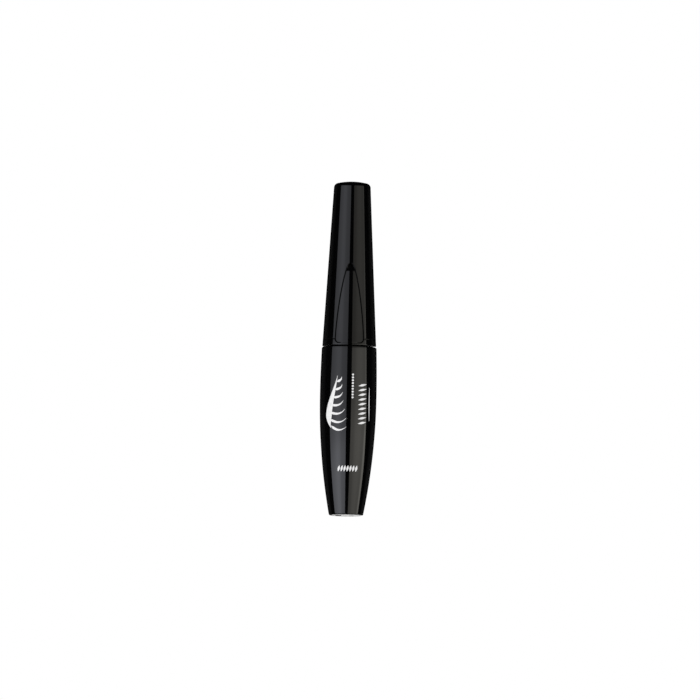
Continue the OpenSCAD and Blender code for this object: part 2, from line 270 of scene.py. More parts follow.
def maths(operation, *values):
    """A Math node on wires and numbers, at least one of them a wire."""
    tree = next(value for value in values if isinstance(value, Wire)).socket.id_data
    node = tree.nodes.new("ShaderNodeMath")
    node.operation = operation
    for socket, value in zip(node.inputs, values):
        feed(socket, value)
    return Wire(node.outputs[0])


class Wire:
    """What a shader socket gives; sums written with it add Math nodes."""

    def __init__(self, socket):
        self.socket = socket

    def __add__(self, other):
        return maths("ADD", self, other)

    def __radd__(self, other):
        return maths("ADD", other, self)

    def __sub__(self, other):
        return maths("SUBTRACT", self, other)

    def __rsub__(self, other):
        return maths("SUBTRACT", other, self)

    def __mul__(self, other):
        return maths("MULTIPLY", self, other)

    def __rmul__(self, other):
        return maths("MULTIPLY", other, self)

    def __truediv__(self, other):
        return maths("DIVIDE", self, other)

    def __rtruediv__(self, other):
        return maths("DIVIDE", other, self)

    def __abs__(self):
        return maths("ABSOLUTE", self)


class Finish:
    """The nodes of one material or of the world."""

    def __init__(self, owner):
        owner.use_nodes = True
        self.owner = owner
        self.tree = owner.node_tree
        self.tree.nodes.clear()

    def add(self, kind, settings=None, sockets=None, out=0):
        """One node: its settings first, then its sockets; gives the wire or wires named by out."""
        node = self.tree.nodes.new("ShaderNode" + kind)
        for key, value in (settings or {}).items():
            if key == "stops":
                ramp = node.color_ramp
                while len(ramp.elements) < len(value):
                    ramp.elements.new(1.0)
                for element, (place, colour) in zip(ramp.elements, value):
                    element.position = place
                    element.color = colour
            else:
                setattr(node, key, value)
        for key, value in (sockets or {}).items():
            feed(node.inputs[key], value)
        if isinstance(out, tuple):
            return tuple(Wire(node.outputs[name]) for name in out)
        return Wire(node.outputs[out])

    def place(self, across=1.0, along=1.0):
        """The point on the object in metres, stretched across and along the bottle's axis."""
        point = self.add("TexCoord", out="Object")
        return self.add("Mapping", {"vector_type": "POINT"},
                        {"Vector": point, "Scale": (across, across, along)})

    def coordinates(self, *axes):
        """How far the point lies along each of the named axes, in metres."""
        point = self.add("TexCoord", out="Object")
        return self.add("SeparateXYZ", sockets={"Vector": point}, out=axes)

    def noise(self, point, scale, detail=2.0, rough=0.5):
        """Soft noise at a point, its scale in lumps to the metre."""
        return self.add("TexNoise", {"noise_dimensions": "3D"},
                        {"Vector": point, "Scale": scale, "Detail": detail, "Roughness": rough},
                        out="Fac")

    def step(self, value, low, high):
        """Runs smoothly from 0 at low to 1 at high."""
        return self.add("MapRange", {"interpolation_type": "SMOOTHSTEP", "clamp": True},
                        {"Value": value, "From Min": low, "From Max": high,
                         "To Min": 0.0, "To Max": 1.0})

    def mix(self, share, first, second):
        """Colours, mixed by a share of the second."""
        return self.add("Mix", {"data_type": "RGBA", "clamp_factor": True},
                        {0: share, 6: first, 7: second}, out=2)

    def bump(self, height, depth, under=None):
        """A normal from a height between 0 and 1 that stands for a depth in millimetres."""
        sockets = {"Strength": 1.0, "Distance": depth * MM, "Height": height}
        if under is not None:
            sockets["Normal"] = under
        return self.add("Bump", sockets=sockets)

    def end(self, surface):
        """Ends the material with its surface."""
        self.add("OutputMaterial", sockets={"Surface": surface}, out=())
        return self.owner

    def skin(self, **sockets):
        """Ends the material as a solid one; a socket's spaces are written as _."""
        named = {name.replace("_", " "): value for name, value in sockets.items()}
        return self.end(self.add("BsdfPrincipled", sockets=named))

    def light(self, colour, strength):
        """Ends the material as one that gives off light."""
        return self.end(self.add("Emission", sockets={"Color": colour, "Strength": strength}))


def new_finish(name):
    """An empty material, ready for its nodes."""
    return Finish(bpy.data.materials.new(name))


def tone(level, blue=1.0, red=1.0):
    """A grey, tinted by shares of blue and red."""
    return (level * red, level, level * blue, 1.0)


# Materials

def gloss_black(name, level, ring_line=False):
    """Polished black moulding: slow ripple, hairline scuffs and a little haze. The ring line is
    a fine groove round the piece, left out where the petal lies."""
    f = new_finish(name)
    ripple_depth = 0.0012
    ripple = f.noise(f.place(along=0.4), 420.0, detail=1.0)
    drift = f.noise(f.place(along=0.7), 90.0)
    hair = f.noise(f.place(along=0.03), 7000.0, rough=0.6)
    crossed = f.noise(f.place(across=0.05), 6000.0, rough=0.6)
    patches = f.step(f.noise(f.place(), 160.0, detail=3.0), 0.5, 0.72)
    scuffs = (f.step(hair, 0.66, 0.74) + f.step(crossed, 0.68, 0.76)) * patches
    specks = f.step(f.noise(f.place(), 5200.0, detail=0.0), 0.86, 0.9)
    colour = f.mix(f.step(drift, 0.3, 0.7), tone(level), tone(level * 1.5, 1.15))
    colour = f.mix(scuffs * 0.25 + specks * 0.5, colour, tone(0.02))
    normal = f.bump(ripple, ripple_depth)
    normal = f.bump(drift, ripple_depth * 3, normal)
    if ring_line:
        x, y, z = f.coordinates("X", "Y", "Z")
        groove = 1.0 - f.step(abs(z - RING_LINE_Z * MM),
                              RING_LINE_FLOOR_W * MM, RING_LINE_HALF_W * MM)
        # Behind the axis every place counts as far out, so the line runs all round the back
        behind = maths("MAXIMUM", y, 0.0) * RING_LINE_BACK_PULL
        shown = f.step(abs(x) + behind, RING_LINE_START_X * MM,
                       (RING_LINE_START_X + RING_LINE_FADE_W) * MM)
        normal = f.bump(1.0 - groove * shown, RING_LINE_DEPTH, normal)
    return f.skin(
        Base_Color=colour,
        Roughness=0.045 + drift * 0.03 + scuffs * 0.12 + specks * 0.2,
        Normal=normal,
        IOR=1.5,
    )


def satin_black(name, level, roughness, line_depth):
    """Spark-finished black moulding, with a parting line down two sides if it has a depth."""
    f = new_finish(name)
    grain = f.noise(f.place(), 9000.0)
    cloud = f.noise(f.place(), 300.0)
    y = f.coordinates("Y")[0]
    parting = 1.0 - f.step(abs(y), PARTING_FLOOR_W * MM, PARTING_HALF_W * MM)
    return f.skin(
        Base_Color=f.mix(f.step(cloud, 0.3, 0.7), tone(level), tone(level * 1.7, 1.08)),
        Roughness=roughness + grain * 0.12 + cloud * 0.06,
        Normal=f.bump(parting, line_depth, f.bump(grain, 0.006)),
        IOR=1.49,
    )


def milky_wiper():
    """Soft natural polyethylene, a little uneven in thickness."""
    f = new_finish("milky_wiper_plastic")
    cloud = f.noise(f.place(), 500.0, detail=3.0)
    grain = f.noise(f.place(), 6000.0)
    return f.skin(
        Base_Color=f.mix(f.step(cloud, 0.3, 0.7), tone(0.66, 0.95), tone(0.76, 0.97)),
        Roughness=0.34 + grain * 0.14,
        Normal=f.bump(grain, 0.005),
        IOR=1.5,
        Subsurface_Weight=0.35,
        Subsurface_Radius=(1.6 * MM, 1.6 * MM, 1.4 * MM),
    )


def foam_washer():
    """Closed-cell foam cut from a sheet."""
    f = new_finish("foam_washer_white")
    cells = f.add("TexVoronoi", {"feature": "F1"}, {"Vector": f.place(), "Scale": 7000.0},
                  out="Distance")
    cloud = f.noise(f.place(), 900.0)
    return f.skin(
        Base_Color=f.mix(f.step(cells, 0.1, 0.6), tone(0.62, 0.97), tone(0.8, 0.98)),
        Roughness=0.7 + cloud * 0.2,
        Normal=f.bump(cells, 0.03),
        IOR=1.45,
    )


def coated_paper():
    """White label stock with faint fibres under a matt coat, printed with plain dark blocks."""
    f = new_finish("coated_paper_white")
    fibres = f.noise(f.place(), 3500.0, detail=5.0, rough=0.65)
    cloud = f.noise(f.place(), 400.0)
    x, y = f.coordinates("X", "Y")

    def inside(value, middle, half):
        return 1.0 - f.step(abs(value - middle * MM), (half - LABEL_BLOCK_EDGE) * MM,
                            (half + LABEL_BLOCK_EDGE) * MM)

    printed = sum(inside(x, middle_x, half_x) * inside(y, middle_y, half_y)
                  for middle_x, middle_y, half_x, half_y in LABEL_BLOCKS)
    paper = f.mix(f.step(fibres, 0.35, 0.65), tone(0.88, 0.985), tone(0.94, 0.99))
    return f.skin(
        Base_Color=f.mix(printed * (0.9 + fibres * 0.1), paper, tone(0.012)),
        Roughness=0.5 + cloud * 0.12,
        Normal=f.bump(fibres, 0.008),
        IOR=1.45,
    )


def drawn_tube():
    """Drawn aluminium with fine lines round the tube."""
    f = new_finish("drawn_aluminium")
    rings = f.noise(f.place(across=0.04), 26000.0, rough=0.7)
    cloud = f.noise(f.place(), 1200.0)
    return f.skin(
        Base_Color=f.mix(cloud, tone(0.62, 1.01), tone(0.76, 1.02)),
        Metallic=1.0,
        Roughness=0.22 + rings * 0.16 + cloud * 0.06,
        Normal=f.bump(rings, 0.004),
    )


def wet_bristles():
    """Nylon bristles, darker and wetter towards the tip."""
    f = new_finish("nylon_bristles")
    z = f.coordinates("Z")[0]
    dry = f.step(z, (BRUSH_TIP_Z + TUFT_WET_H) * MM, (BRUSH_TIP_Z + TUFT_H) * MM)
    streaks = f.noise(f.place(along=0.03), 14000.0)
    brown = f.mix(streaks, (0.035, 0.019, 0.012, 1.0), (0.085, 0.05, 0.034, 1.0))
    return f.skin(
        Base_Color=f.mix(dry, (0.006, 0.005, 0.005, 1.0), brown),
        Roughness=0.16 + dry * 0.2 + streaks * 0.1,
        Normal=f.bump(streaks, 0.006),
        IOR=1.53,
    )


def print_ink():
    """White screen-printed ink, thin enough to show its mesh a little."""
    f = new_finish("white_print_ink")
    mesh = f.noise(f.place(), 9000.0, detail=1.0)
    cover = f.noise(f.place(), 1500.0, detail=3.0)
    return f.skin(
        Base_Color=f.mix(f.step(cover, 0.25, 0.6), tone(0.82, 1.01), tone(0.95)),
        Roughness=0.42 + mesh * 0.15,
        Normal=f.bump(mesh, 0.006),
        IOR=1.48,
    )


# Meshes

def make_piece(name, points, faces, finish, sharp_deg=30.0):
    """A mesh object from points in millimetres, smooth but for edges over sharp_deg."""
    mesh = bpy.data.meshes.new(name)
    mesh.from_pydata([tuple(c * MM for c in p) for p in points], [], faces)
    mesh.validate()
    mesh.polygons.foreach_set("use_smooth", [True] * len(mesh.polygons))
    mesh.set_sharp_from_angle(angle=math.radians(sharp_deg))
    mesh.materials.append(finish)
    piece = bpy.data.objects.new(name, mesh)
    bpy.context.scene.collection.objects.link(piece)
    return piece


def arc(centre, r, start_deg, end_deg, steps):
    """Points along an arc, both ends included; angles from +X, anticlockwise."""
    turns = [math.radians(turn) for turn in spread(start_deg, end_deg, steps)]
    return [(centre[0] + r * math.cos(a), centre[1] + r * math.sin(a)) for a in turns]


def line(start, end, steps):
    """Points along a line, its ends left out."""
    return list(zip(spread(start[0], end[0], steps), spread(start[1], end[1], steps)))[1:-1]


def revolve(profile, steps=TURN_STEPS):
    """Points and faces of an outline of (radius, height) turned round the axis.
    An outline that starts or ends on the axis closes there."""
    points, rows = [], []
    for r, z in profile:
        if r == 0:
            rows.append([len(points)] * steps)
            points.append((0.0, 0.0, z))
        else:
            rows.append(list(range(len(points), len(points) + steps)))
            for i in range(steps):
                a = 2 * math.pi * i / steps
                points.append((r * math.sin(a), -r * math.cos(a), z))
    faces = []
    for low, high in zip(rows, rows[1:]):
        for i in range(steps):
            j = (i + 1) % steps
            ring = [low[i], low[j], high[j], high[i]]
            face = [v for k, v in enumerate(ring) if v != ring[k - 1]]
            if len(face) > 2:
                faces.append(face)
    return points, faces


def joined(*parts):
    """Several lists of points and faces as one."""
    points, faces = [], []
    for some_points, some_faces in parts:
        base = len(points)
        points += list(some_points)
        faces += [[v + base for v in face] for face in some_faces]
    return points, faces


def sweep(rings):
    """A closed tube through rings of equal count, capped at both ends."""
    count = len(rings[0])
    points = [p for ring in rings for p in ring]
    faces = []
    for low in range(0, (len(rings) - 1) * count, count):
        high = low + count
        for j in range(count):
            k = (j + 1) % count
            faces.append([low + j, low + k, high + k, high + j])
    faces.append(list(reversed(range(count))))
    faces.append(list(range(len(points) - count, len(points))))
    return points, faces


# The bottle

def side_arc_r(length, depth):
    """Radius of an arc that leaves a straight line by this depth over this length."""
    return (length * length + depth * depth) / (2 * depth)


LOWER_ARC_R = side_arc_r(BELLY_Z, BELLY_R - FOOT_R)
UPPER_ARC_R = side_arc_r(SHOULDER_Z - BELLY_Z, BELLY_R - SHOULDER_R)


def barrel_r(z):
    """Outside radius of the bottle at a height between its rounded edges."""
    r = LOWER_ARC_R if z < BELLY_Z else UPPER_ARC_R
    return BELLY_R - r + math.sqrt(r * r - (z - BELLY_Z) ** 2)


def barrel_line(inset, low, high, low_edge_r, high_edge_r, steps):
    """The barrel's outline from its low level face to its high one, edges rounded."""
    lower = (BELLY_R - LOWER_ARC_R, BELLY_Z)
    upper = (BELLY_R - UPPER_ARC_R, BELLY_Z)
    lower_r, upper_r = LOWER_ARC_R - inset, UPPER_ARC_R - inset
    edge_steps = 12

    def corner(side, r, height, edge_r):
        reach = math.sqrt((r - edge_r) ** 2 - (height - side[1]) ** 2)
        lean = math.degrees(math.atan2(height - side[1], reach))
        return (side[0] + reach, height), lean

    foot_c, foot_lean = corner(lower, lower_r, low + low_edge_r, low_edge_r)
    top_c, top_lean = corner(upper, upper_r, high - high_edge_r, high_edge_r)
    return (
        arc(foot_c, low_edge_r, -90, foot_lean, edge_steps)
        + arc(lower, lower_r, foot_lean, 0, steps)[1:]
        + arc(upper, upper_r, 0, top_lean, steps // 2)[1:]
        + arc(top_c, high_edge_r, top_lean, 90, edge_steps)[1:]
    )


def neck_thread():
    """The screw ridges on the neck, fading out at both ends."""
    turns = RIDGE_RISE / THREAD_LEAD
    steps = round(turns * RIDGE_TURN_STEPS)
    root, crest, edge = RIDGE_ROOT_W / 2, RIDGE_CREST_W / 2, RIDGE_EDGE_W
    buried_r = NECK_R - RIDGE_SUNK
    faded_r = NECK_R - RIDGE_SUNK / 2
    parts = []
    for start in range(THREAD_STARTS):
        rings = []
        for i in range(steps + 1):
            fade = math.sin(math.pi / 2 * min(1.0, min(i, steps - i) / RIDGE_FADE_STEPS))
            tip_r = faded_r + (NECK_R + RIDGE_H - faded_r) * fade
            a = 2 * math.pi * (start / THREAD_STARTS + turns * i / steps)
            middle_z = SHOULDER_Z + RIDGE_FOOT_H + RIDGE_RISE * i / steps
            outline = [
                (buried_r, -root), (tip_r - edge, -crest - edge / 2), (tip_r, -crest + edge),
                (tip_r, crest - edge), (tip_r - edge, crest + edge / 2), (buried_r, root),
            ]
            rings.append([(r * math.cos(a), r * math.sin(a), middle_z + z) for r, z in outline])
        parts.append(sweep(rings))
    return joined(*parts)


def build_bottle(finish):
    """Barrel, shoulder, neck, bore and cavity turned as one outline, and the neck's thread."""
    middle, recess = (0, LABEL_RECESS_H), (LABEL_RECESS_R, LABEL_RECESS_H)
    collar_r, collar_z = NECK_R + RIDGE_H, SHOULDER_Z + COLLAR_H
    lip_c = (NECK_R - LIP_EDGE_R, NECK_TOP - LIP_EDGE_R)
    cavity = barrel_line(WALL_T, FLOOR_T, CAVITY_TOP_Z, CAVITY_EDGE_R, CAVITY_EDGE_R, steps=24)
    outline = (
        [middle] + line(middle, recess, steps=4) + [recess, (LABEL_RECESS_R, 0)]
        + barrel_line(0, 0, DECK_Z, FOOT_EDGE_R, SHOULDER_EDGE_R, steps=64)
        + [(SHOULDER_R - DECK_RING_INSET, DECK_Z), (collar_r, DECK_Z)]
        + arc((collar_r - COLLAR_EDGE_R, collar_z - COLLAR_EDGE_R), COLLAR_EDGE_R, 0, 90, steps=4)
        + [(NECK_R, collar_z)] + line((NECK_R, collar_z), (NECK_R, lip_c[1]), steps=6)
        + arc(lip_c, LIP_EDGE_R, 0, 90, steps=5)
        + [(NECK_BORE_R, NECK_TOP), (NECK_BORE_R, CAVITY_TOP_Z)]
        + list(reversed(cavity)) + [(0, FLOOR_T)]
    )
    points, faces = joined(revolve(outline), neck_thread())
    return make_piece("bottle_body_shell", points, faces, finish)


# The cap

def cap_r(z):
    """Outside radius of the cap's taper at a height."""
    return RIM_R - CAP_SLOPE * (z - RIM_Z)


def crown_line():
    """The rounded crown edge and the shallow dome, from the taper to the axis."""
    dome_z = CAP_TOP - CROWN_DOME_R
    reach = CROWN_DOME_R - CROWN_EDGE_R
    edge_x = cap_r(dome_z) - CROWN_EDGE_R / math.cos(CAP_LEAN)
    grow = 1 + CAP_SLOPE ** 2
    rise = (edge_x * CAP_SLOPE + math.sqrt(reach * reach * grow - edge_x * edge_x)) / grow
    centre = (edge_x - CAP_SLOPE * rise, dome_z + rise)
    turn = math.degrees(math.atan2(rise, centre[0]))
    return (
        arc(centre, CROWN_EDGE_R, math.degrees(CAP_LEAN), turn, steps=16)
        + arc((0, dome_z), CROWN_DOME_R, turn, 90, steps=20)[1:-1] + [(0, CAP_TOP)]
    )


def inside_line():
    """The cap's inside from its ceiling down, and its rim out to the taper."""
    def inside(z):
        return (cap_r(z) - CAP_WALL_W, z)

    edge_z = RIM_FOOT_Z + RIM_EDGE_R
    edge_c = (cap_r(edge_z) - RIM_EDGE_R / math.cos(CAP_LEAN), edge_z)
    return (
        [inside(CEILING_Z)] + line(inside(CEILING_Z), inside(RIM_FOOT_Z), steps=12)
        + [inside(RIM_FOOT_Z)] + arc(edge_c, RIM_EDGE_R, -90, math.degrees(CAP_LEAN), steps=10)
    )


def petal_ring():
    """The petal's edge seen from the front, clockwise from its left foot corner: points and
    outward directions. The sides have as many steps as each other, and so have tip and foot."""
    corner_z = PETAL_FOOT_Z + PETAL_CORNER_R
    full = PETAL_TIP_Z - corner_z

    def half_w(drop):
        """Half the petal's width, at a share of the way down from its tip."""
        left = max(0.0, 1 - drop)
        power = PETAL_TIP_POWER + PETAL_BLUNT * left ** PETAL_BLUNT_FADE
        return PETAL_HALF_W * (1 - left ** PETAL_SIDE_POWER) ** (1 / power)

    def on_side(share):
        if share == 0:
            return (0.0, PETAL_TIP_Z, 0.0, 1.0)
        drop = share * share
        near = drop * PETAL_SLOPE_SHARE
        widen = (half_w(drop + near) - half_w(drop - near)) / (2 * near)
        lean = math.atan2(widen, full)
        return (half_w(drop), PETAL_TIP_Z - drop * full, math.cos(lean), math.sin(lean))

    def mirrored(run):
        return [(-x, z, -nx, nz) for x, z, nx, nz in run]

    side = [on_side(share) for share in spread(PETAL_TIP_SHARE, 1, PETAL_SIDE_STEPS)]
    half_tip = [on_side(share) for share in spread(0, PETAL_TIP_SHARE, PETAL_TIP_STEPS // 2)[1:-1]]
    flat_w = PETAL_HALF_W - PETAL_CORNER_R
    corner = [
        (flat_w + PETAL_CORNER_R * math.cos(a), corner_z - PETAL_CORNER_R * math.sin(a),
         math.cos(a), -math.sin(a))
        for a in spread(0, math.pi / 2, PETAL_CORNER_STEPS)[1:]
    ]
    flat_steps = PETAL_TIP_STEPS - 2 * PETAL_CORNER_STEPS
    flat = [(x, PETAL_FOOT_Z, 0.0, -1.0) for x in spread(flat_w, -flat_w, flat_steps)[1:-1]]
    return (
        mirrored(reversed(side)) + mirrored(reversed(half_tip)) + [on_side(0)] + half_tip + side
        + corner + flat + mirrored(reversed(corner))
    )


def petal_depth(z):
    """How deep the petal lies at a height, and how fast that grows with the height: shallow
    over its foot, and hollowed out below its tip."""
    rise = min(1.0, max(0.0, (z - PETAL_FOOT_Z) / PETAL_FADE_H))
    gain = PETAL_DEPTH * (1 - PETAL_FOOT_DEPTH_SHARE)
    depth = PETAL_DEPTH * PETAL_FOOT_DEPTH_SHARE + gain * eased(rise)
    slope = gain * 6 * rise * (1 - rise) / PETAL_FADE_H
    climb = max(0.0, z - PETAL_TIP_Z + PETAL_HOLLOW_H)
    if climb < PETAL_HOLLOW_EASE:
        depth += PETAL_HOLLOW_SLOPE * climb ** 2 / (2 * PETAL_HOLLOW_EASE)
        return depth, slope + PETAL_HOLLOW_SLOPE * climb / PETAL_HOLLOW_EASE
    depth += PETAL_HOLLOW_SLOPE * (climb - PETAL_HOLLOW_EASE / 2)
    return depth, slope + PETAL_HOLLOW_SLOPE


def petal_line_half_w(z):
    """Half the width of the petal's wall: steeper and so narrower round the tip."""
    share = eased((PETAL_TIP_Z - z) / PETAL_HOLLOW_H)
    return PETAL_TIP_LINE_HALF_W + (PETAL_LINE_HALF_W - PETAL_TIP_LINE_HALF_W) * share


def petal_line_depth(x, z):
    """Depth of the fine line cut round the petal: none at the tip, slight along the foot."""
    depth = PETAL_LINE_DEPTH * eased((PETAL_TIP_Z - z) / PETAL_HOLLOW_H)
    if z < PETAL_FOOT_Z + PETAL_CORNER_R:
        past = abs(x) - PETAL_HALF_W + PETAL_CORNER_R
        beside = eased(past / PETAL_FOOT_LINE_FADE + 1)
        depth *= PETAL_FOOT_LINE_SHARE + (1 - PETAL_FOOT_LINE_SHARE) * beside
    return depth


def on_cap(x, z, sunk=0.0):
    """A point of the cap's skin from its place seen from the front."""
    r = cap_r(z) - sunk
    return (x, -math.sqrt(r * r - x * x), z)


def skin_normal(point, dx=0.0, dz=0.0):
    """The way out of the cap's skin at a point, leaned across and up by the petal's slopes."""
    r = math.hypot(point[0], point[1])
    return Vector((point[0] / r + dx, point[1] / r, CAP_SLOPE + dz)).normalized()


class CapMesh:
    """The cap's points and faces as they are made, with the true normals of its skin."""

    def __init__(self):
        self.points, self.normals, self.faces, self.skin = [], [], [], set()

    def put(self, point, normal=None):
        """Adds a point, with its normal where the skin runs; gives its number."""
        self.points.append(point)
        self.normals.append(normal)
        return len(self.points) - 1

    def quad(self, corners, on_skin=True):
        """Adds a face of four points, on the skin or not."""
        if on_skin:
            self.skin.add(len(self.faces))
        self.faces.append(corners)


def turn_wall(cap):
    """The turned cap with a patch left open round the petal: inside, rim, taper and crown.
    Gives the patch's border, in the order of the petal's edge."""
    side, tip = PETAL_SIDE_STEPS, PETAL_TIP_STEPS
    turns = spread(-PATCH_HALF_DEG, PATCH_HALF_DEG, tip)[:-1]
    turns += spread(PATCH_HALF_DEG, 360 - PATCH_HALF_DEG, BACK_STEPS)[:-1]
    count = len(turns)
    all_round, behind = list(range(count)), [0] + list(range(tip, count))
    crown = crown_line()
    taper_top = crown[0][1]

    def on_taper(z):
        """Whether a height is on the taper, and not yet on the crown's rounded edge."""
        return z < taper_top or math.isclose(z, taper_top)

    def turn_row(r, z, on_skin, places):
        """A row of points round the axis, at those of the turns that are in places."""
        row = {}
        for i in places:
            a = math.radians(turns[i])
            point = (r * math.sin(a), -r * math.cos(a), z)
            row[i] = cap.put(point, skin_normal(point) if on_skin else None)
        return row

    rows = [turn_row(r, z, False, all_round) for r, z in inside_line()]
    first = len(rows)
    for i, z in enumerate(spread(PATCH_LOW_Z, PATCH_HIGH_Z, side)):
        rows.append(turn_row(cap_r(z), z, True, all_round if i in (0, side) else behind))
    last = len(rows) - 1
    for r, z in line((cap_r(PATCH_HIGH_Z), PATCH_HIGH_Z), crown[0], steps=26) + crown[:-1]:
        rows.append(turn_row(r, z, on_taper(z), all_round))
    for k, (low, high) in enumerate(zip(rows, rows[1:])):
        for i in range(tip if first <= k < last else 0, count):
            j = (i + 1) % count
            on_skin = k >= first and on_taper(cap.points[high[i]][2])
            cap.quad([low[i], low[j], high[j], high[i]], on_skin)
    apex = cap.put((0, 0, CAP_TOP))
    ceiling = cap.put((0, 0, CEILING_Z))
    for i in range(count):
        j = (i + 1) % count
        cap.faces.append([rows[-1][i], rows[-1][j], apex])
        cap.faces.append([rows[0][j], rows[0][i], ceiling])

    grid = rows[first:last + 1]
    left = [grid[i][0] for i in range(side)]
    top = [grid[side][i] for i in range(tip)]
    right = [grid[side - i][tip] for i in range(side + 1)]
    return left + top + right + [grid[0][tip - i] for i in range(1, tip)]


def close_in(cap, border):
    """Rings of skin from the patch's border in to the petal, then down the petal's wall.
    Gives the wall's inner edge."""
    edge = petal_ring()
    rings = [border]
    for share in PATCH_RING_SHARES:
        ring = []
        for (x, z, nx, nz), v in zip(edge, border):
            half_w = petal_line_half_w(z)
            near_x, near_z = x + nx * half_w, z + nz * half_w
            point = on_cap(near_x + (cap.points[v][0] - near_x) * share,
                           near_z + (cap.points[v][2] - near_z) * share)
            ring.append(cap.put(point, skin_normal(point)))
        rings.append(ring)
    for part in PETAL_WALL_SHARES:
        ring = []
        for x, z, nx, nz in edge:
            half_w = petal_line_half_w(z)
            z_here = z + nz * half_w * part
            depth, deepening = petal_depth(z_here)
            cut = petal_line_depth(x, z)
            sunk = depth * (1 - part) / 2 + cut * (1 - part * part)
            fall = (depth / 2 + cut * 2 * part) / half_w if abs(part) < 1 else 0.0
            lean_z = deepening * (1 - part) / 2
            point = on_cap(x + nx * half_w * part, z_here, sunk)
            ring.append(cap.put(point, skin_normal(point, -nx * fall, -nz * fall + lean_z)))
        rings.append(ring)
    for outer, inner in zip(rings, rings[1:]):
        for i in range(PETAL_RING):
            j = (i + 1) % PETAL_RING
            cap.quad([outer[i], inner[i], inner[j], outer[j]])
    return rings[-1]


def lay_petal(cap, inner):
    """The petal's floor, drawn between the four runs of the wall's inner edge."""
    side, tip = PETAL_SIDE_STEPS, PETAL_TIP_STEPS
    feet = [-u % PETAL_RING for u in range(tip + 1)]
    rights = [2 * side + tip - v for v in range(side + 1)]
    floor = {(u, 0): inner[feet[u]] for u in range(tip + 1)}
    floor.update({(u, side): inner[side + u] for u in range(tip + 1)})
    floor.update({(0, v): inner[v] for v in range(side + 1)})
    floor.update({(tip, v): inner[rights[v]] for v in range(side + 1)})
    flat = [Vector((cap.points[v][0], cap.points[v][2])) for v in inner]
    for u in range(1, tip):
        for v in range(1, side):
            a, b = u / tip, v / side
            spot = (
                flat[feet[u]] * (1 - b) + flat[side + u] * b
                + flat[v] * (1 - a) + flat[rights[v]] * a
                - flat[0] * (1 - a) * (1 - b) - flat[rights[0]] * a * (1 - b)
                - flat[side] * (1 - a) * b - flat[side + tip] * a * b
            )
            depth, deepening = petal_depth(spot.y)
            point = on_cap(spot.x, spot.y, depth)
            floor[u, v] = cap.put(point, skin_normal(point, 0.0, deepening))
    for u in range(tip):
        for v in range(side):
            cap.quad([floor[u, v], floor[u + 1, v], floor[u + 1, v + 1], floor[u, v + 1]])


def cap_ribs():
    """Ribs that hold the inner cap, square to the wall and sunk half way into it."""
    high = CEILING_Z + RIB_SUNK
    outline = [
        (INNER_R, INNER_FLANGE_Z), (cap_r(INNER_FLANGE_Z) - CAP_WALL_W / 2, INNER_FLANGE_Z),
        (cap_r(CEILING_Z) - CAP_WALL_W / 2, high), (INNER_R - RIB_STEP, high),
        (INNER_R - RIB_STEP, INNER_TOP), (INNER_R, INNER_TOP),
    ]
    ribs = []
    for k in range(RIB_COUNT):
        a = 2 * math.pi * (k + 0.5) / RIB_COUNT
        ribs.append(sweep([
            [(r * math.cos(a) - w * math.sin(a), r * math.sin(a) + w * math.cos(a), z)
             for r, z in outline]
            for w in (-RIB_T / 2, RIB_T / 2)
        ]))
    return joined(*ribs)


def build_cap(finish):
    """The cap: its skin with the petal sunk into the front, its inside and its ribs.
    The skin's normals come from the shape itself, so that the lights' edges stay straight."""
    cap = CapMesh()
    lay_petal(cap, close_in(cap, turn_wall(cap)))
    points, faces = joined((cap.points, cap.faces), cap_ribs())
    piece = make_piece("overcap_shell", points, faces, finish)
    mesh = piece.data
    split = [Vector(normal.vector) for normal in mesh.corner_normals]
    for face in mesh.polygons:
        if face.index in cap.skin:
            for corner in face.loop_indices:
                normal = cap.normals[mesh.loops[corner].vertex_index]
                if normal is not None:
                    split[corner] = normal
    mesh.normals_split_custom_set(split)
    return piece


# The brush

def tuft_r(z):
    """Outside radius of the bristles: straight, then drawn to a point."""
    point_z = BRUSH_TIP_Z + TUFT_POINT_H
    if z >= point_z:
        return TUFT_R
    r = side_arc_r(TUFT_POINT_H, TUFT_R - TUFT_TIP_R)
    return TUFT_R - r + math.sqrt(r * r - (point_z - z) ** 2)


def one_bristle(draw):
    """A bristle from the root to a tip drawn at random, thinner towards the tip."""
    reach = math.sqrt(draw.uniform(BRISTLE_INNER_SHARE, 1.0))
    around = draw.uniform(0, 2 * math.pi)
    twist = draw.uniform(-BRISTLE_TWIST, BRISTLE_TWIST)
    lowest = BRUSH_TIP_Z + BRISTLE_TIP_LIFT
    tip_z = lowest + abs(draw.gauss(0, BRISTLE_TIP_SCATTER))
    tip_z = max(lowest, tip_z + (reach - 0.5) * draw.uniform(0, BRISTLE_OUTER_SHORT))
    rings = []
    for share in spread(0, 1, BRISTLE_STEPS):
        z = TUFT_ROOT_Z + (tip_z - TUFT_ROOT_Z) * share
        thick = BRISTLE_R * (1 - BRISTLE_TAPER_SHARE * share ** 2)
        r = max(0.0, tuft_r(z) - thick) * reach
        x, y = r * math.cos(around + twist * share), r * math.sin(around + twist * share)
        sides = [2 * math.pi * j / BRISTLE_SIDES for j in range(BRISTLE_SIDES)]
        rings.append([(x + thick * math.cos(b), y - thick * math.sin(b), z) for b in sides])
    return sweep(rings)


def build_bristles(finish):
    """Fine tapered bristles round a core, gathered to a point."""
    draw = random.Random(BRISTLE_SEED)
    root = TUFT_ROOT_Z - CORE_ROOT_INSET
    core = [(tuft_r(z) * CORE_R_SHARE, z)
            for z in spread(BRUSH_TIP_Z + CORE_LOW_H, root, steps=13)]
    core = [(0, BRUSH_TIP_Z + CORE_TIP_H)] + core + [(0, root)]
    bristles = [one_bristle(draw) for _ in range(BRISTLE_COUNT)]
    points, faces = joined(revolve(core, steps=24), *bristles)
    return make_piece("brush_bristles", points, faces, finish, sharp_deg=60.0)


